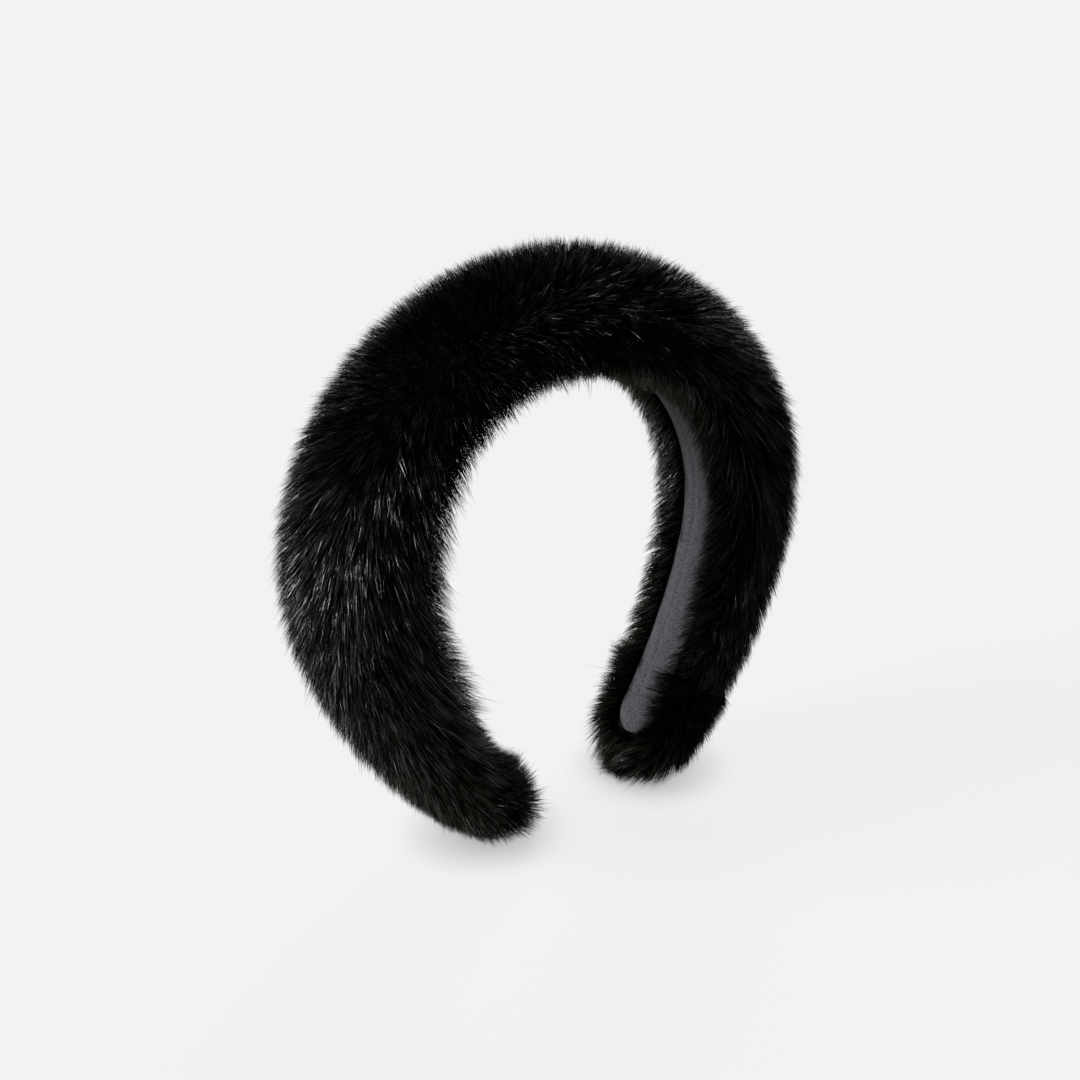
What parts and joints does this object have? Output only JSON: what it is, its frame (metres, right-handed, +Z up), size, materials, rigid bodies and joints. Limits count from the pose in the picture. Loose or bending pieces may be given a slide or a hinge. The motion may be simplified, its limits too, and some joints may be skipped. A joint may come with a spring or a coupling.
{
  "type": "padded fur headband",
  "caption": "Open C-shaped headband: a sprung plastic hoop under a domed foam pad, wrapped in dense fur, with a flat lining strip against the head.",
  "frame": {"origin": "on the surface the two tips stand on, midway between them and at the middle of the band's width", "axes": "+Z up to the crown, X from one arm to the other, Y across the width of the band"},
  "size_m": [0.1746, 0.06, 0.1786],
  "materials": {
    "core_plastic": "moulded black polypropylene",
    "tape": "double-sided tissue tape",
    "foam": "open-cell sponge",
    "fur": "dense short black fur with glossy guard hairs",
    "thread": "black sewing thread",
    "glue": "dried contact adhesive",
    "lining": "dark grey brushed suede cloth"
  },
  "bodies": {
    "root": {"hoop_core": "core_plastic", "foam_tape": "tape", "foam_pad": "foam", "fur_panel_left": "fur", "fur_panel_right": "fur", "crown_seam_thread": "thread", "tip_wrap_left": "fur", "tip_wrap_right": "fur", "tip_seam_thread_left": "thread", "tip_seam_thread_right": "thread", "lining_glue": "glue", "lining_strip": "lining"}
  },
  "joints": []
}
